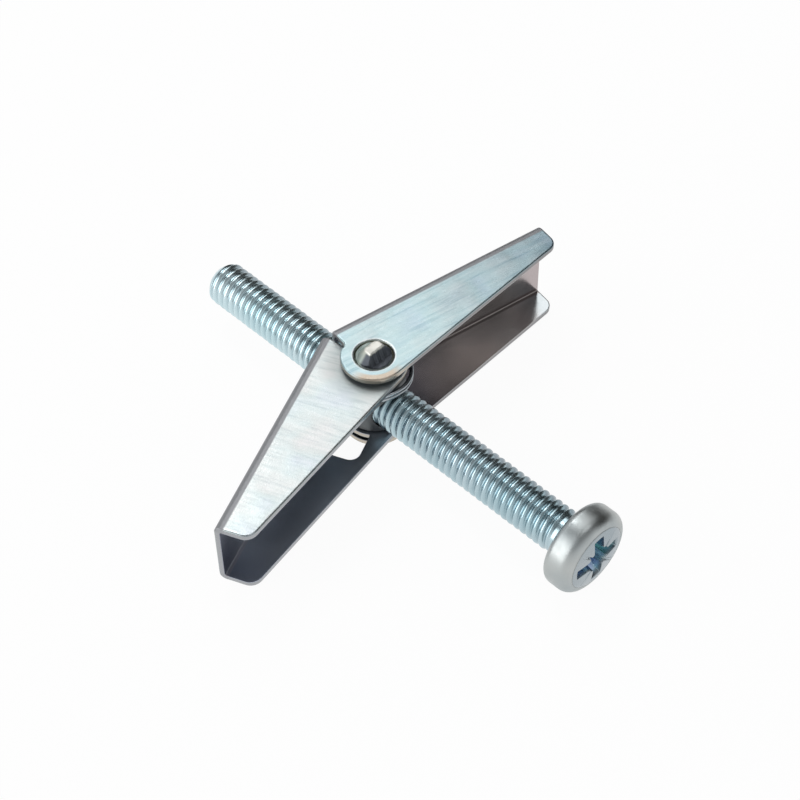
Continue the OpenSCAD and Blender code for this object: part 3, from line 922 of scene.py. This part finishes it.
def wire_material():
    n = Nodes("spring_wire")
    spots = n.noise("object", (700, 700, 700), 3.0)
    cloud = n.noise("object", (220, 220, 220), 2.0)
    drawn = n.ramp(cloud, "Fac", [(0.35, srgb(142, 149, 154)), (0.65, srgb(180, 187, 191))])
    rough = n.value_range(spots, "Fac", 0.14, 0.3, 0.3, 0.7)
    return n.metal(drawn, "Color", rough, "Result", n.bump(spots, "Fac", 0.3, 0.00003))


def nut_material():
    """Grey barrel darkened with painted shade, paler pins, painted shade on the cropped end's steep torn wall and a
    painted highlight on its small flat.
    """
    n = Nodes("zinc_nut")
    spots = n.noise("object", (700, 700, 700), 3.0)
    cloud = n.noise("object", (400, 400, 400), 2.0)
    # the barrel darkened, as painted shade where it sits inside the wings
    body = n.ramp(cloud, "Fac", [(0.35, srgb(104, 108, 110)), (0.65, srgb(132, 134, 134))])
    end = n.ramp(cloud, "Fac", [(0.35, srgb(150, 164, 160)), (0.65, srgb(178, 182, 172))])
    plated = n.mix(n.attribute("end"), "Fac", body, "Color", end, "Color")
    # painted shade on the cropped end's steep wall
    torn = n.mix(n.attribute("torn"), "Fac", plated, MIXED, srgb(84, 88, 94), None)
    # painted highlight on the small flat on top
    colour = n.mix(n.attribute("flat"), "Fac", torn, MIXED, srgb(226, 225, 218), None)
    rough = n.value_range(spots, "Fac", 0.42, 0.6, 0.3, 0.7)
    return n.metal(colour, MIXED, rough, "Result", n.bump(spots, "Fac", 0.3, 0.00003))


def set_material(obj, material):
    obj.data.materials.clear()
    obj.data.materials.append(material)


# ---- Pieces --------------------------------------------------------------------------------------
screw = build_screw()
mark_screw(screw)
set_material(screw, screw_material())
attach(screw, "screw")
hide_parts("machine_screw")

outer, inner = build_wings()
set_material(outer, wing_material("zinc_outer_wing", OUTER, OUTER_LOOK))
set_material(inner, wing_material("zinc_inner_wing", INNER, INNER_LOOK))
for wing, node in ((outer, "outer_wing"), (inner, "inner_wing")):
    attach(wing, node)
    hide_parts(node)

wire_metal = wire_material()
coil, legs = build_spring()
set_material(coil, wire_metal)
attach(coil, "nut")
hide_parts("torsion_spring")
for (leg, a, b), body in zip(legs, ("inner_wing", "outer_wing")):
    set_material(leg, wire_metal)
    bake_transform(leg)
    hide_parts("torsion_spring")

nut = build_nut()
mark_nut(nut)
set_material(nut, nut_material())
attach(nut, "nut")
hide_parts("trunnion_nut")

# ---- Floor, light and camera ---------------------------------------------------------------------
FLOOR_Z = CAD_BOX[0][2] - 0.00005       # in metres, just under the lowest point
FLOOR_HALF = 4000
SCRIM_R, SCRIM_COLUMNS, SCRIM_ROWS = 900, 33, 5


def stage_object(name, points, faces, colour, rough):
    """Matt object beside the part, from millimetre points, and its material's nodes."""
    mesh = bpy.data.meshes.new(name)
    mesh.from_pydata([tuple(c * MM for c in v) for v in points], [], faces)
    obj = bpy.data.objects.new(name, mesh)
    bpy.context.scene.collection.objects.link(obj)
    n = Nodes(name + "_surface")
    n.bsdf.inputs["Base Color"].default_value = colour
    n.bsdf.inputs["Roughness"].default_value = rough
    n.bsdf.inputs["Specular IOR Level"].default_value = 0.0
    set_material(obj, n.material)
    return obj, n


def build_floor():
    """Pale floor, which camera, glossy and transmission rays see as nearly white."""
    corners = [(x * FLOOR_HALF, y * FLOOR_HALF, FLOOR_Z / MM) for x, y in ((-1, -1), (1, -1), (1, 1), (-1, 1))]
    _, n = stage_object("floor", corners, [(0, 1, 2, 3)], (0.9, 0.9, 0.9, 1), 0.9)
    emit = n.feed(n.add("ShaderNodeEmission"), (WHITE, None, "Color"), (1.0, None, "Strength"))
    path = n.add("ShaderNodeLightPath")
    seen = n.calc("MAXIMUM", (path, "Is Camera Ray"), (path, "Is Glossy Ray"))
    seen = n.calc("MAXIMUM", (seen, 0), (path, "Is Transmission Ray"))
    part = n.calc("MULTIPLY", (seen, 0), (0.95, None))
    mix = n.feed(n.add("ShaderNodeMixShader"), (part, 0, 0), (n.bsdf, 0, 1), (emit, 0, 2))
    n.link(mix, 0, n.out, "Surface")


def build_world():
    """Soft studio light that is brighter from below the horizon, where the white floor would be, than from above."""
    world = bpy.data.worlds.new("studio")
    bpy.context.scene.world = world
    world.use_nodes = True
    tree = world.node_tree
    tree.nodes.clear()
    out = tree.nodes.new("ShaderNodeOutputWorld")
    back = tree.nodes.new("ShaderNodeBackground")
    coord = tree.nodes.new("ShaderNodeTexCoord")
    split = tree.nodes.new("ShaderNodeSeparateXYZ")
    ramp = tree.nodes.new("ShaderNodeValToRGB")
    ends = ((0.25, (0.85, 0.86, 0.87, 1)), (0.75, (0.26, 0.265, 0.27, 1)))
    for element, (at, colour) in zip(ramp.color_ramp.elements, ends):
        element.position, element.color = at, colour
    tree.links.new(coord.outputs["Generated"], split.inputs[0])
    tree.links.new(split.outputs["Z"], ramp.inputs["Fac"])
    tree.links.new(ramp.outputs["Color"], back.inputs["Color"])
    back.inputs["Strength"].default_value = 1.0
    tree.links.new(back.outputs[0], out.inputs["Surface"])


def direction(azimuth, elevation):
    a, e = math.radians(azimuth), math.radians(elevation)
    return Vector((math.cos(e) * math.cos(a), math.cos(e) * math.sin(a), math.sin(e)))


def soft_lamp(name, azimuth, elevation, distance, size, radiance):
    """Rectangular lamp aimed at the nut, in metres; its brightness is given as the radiance of its face."""
    light = bpy.data.lights.new(name, "AREA")
    light.shape = "RECTANGLE"
    light.size, light.size_y = size
    light.energy = radiance * math.pi * size[0] * size[1]
    obj = bpy.data.objects.new(name, light)
    bpy.context.scene.collection.objects.link(obj)
    towards = direction(azimuth, elevation)
    obj.location = Vector(PIVOT) * MM + towards * distance
    obj.rotation_euler = towards.to_track_quat("Z", "Y").to_euler()


def dark_scrim():
    """Curved dark card behind the bolt, which gives the metal something to reflect beside the lamps."""
    azimuths = np.linspace(38, 158, SCRIM_COLUMNS)
    tops = np.interp(azimuths, [38, 60, 95, 115, 130, 150, 158], [62, 62, 46, 41, 36, 34, 14])
    points = [direction(a, e) * SCRIM_R for a, top in zip(azimuths, tops) for e in np.linspace(-0.2, top, SCRIM_ROWS)]
    faces = []
    for i in range(SCRIM_COLUMNS - 1):
        for k in range(i * SCRIM_ROWS, (i + 1) * SCRIM_ROWS - 1):
            faces.append((k, k + 1, k + SCRIM_ROWS + 1, k + SCRIM_ROWS))
    obj, _ = stage_object("dark_scrim", points, faces, (0.07, 0.066, 0.062, 1), 1.0)
    obj.data.polygons.foreach_set("use_smooth", [True] * len(faces))
    obj.visible_camera = False
    obj.visible_shadow = False
    obj.visible_diffuse = False


def build_camera():
    """Camera that was fitted to the object's edges in the photograph."""
    data = bpy.data.cameras.new("camera")
    obj = bpy.data.objects.new("camera", data)
    bpy.context.scene.collection.objects.link(obj)
    data.lens = 88.114
    data.sensor_width = 36
    data.clip_start = 0.01
    data.clip_end = 20
    right = Vector((0.71346093, 0.70061725, -0.01043901))
    up = Vector((-0.52637539, 0.54573943, 0.65199495))
    back = Vector((0.46249589, -0.45967809, 0.75815144))
    obj.matrix_world = Matrix.Translation(Vector((81.808, -108.823, 180.7205 + PIVOT.z)) * MM) @ Matrix(
        (right, up, back)).transposed().to_4x4()
    bpy.context.scene.camera = obj


build_floor()
build_world()
build_camera()
dark_scrim()
soft_lamp("key", 140, 49, 0.7, (0.32, 0.3), 1.7)
soft_lamp("overhead", 165, 60, 0.7, (0.16, 0.17), 7.5)
soft_lamp("window", 246, 26, 0.8, (0.78, 0.74), 1.9)
soft_lamp("top", 60, 78, 0.8, (0.22, 0.22), 3.0)
bpy.context.scene.view_settings.view_transform = "Standard"
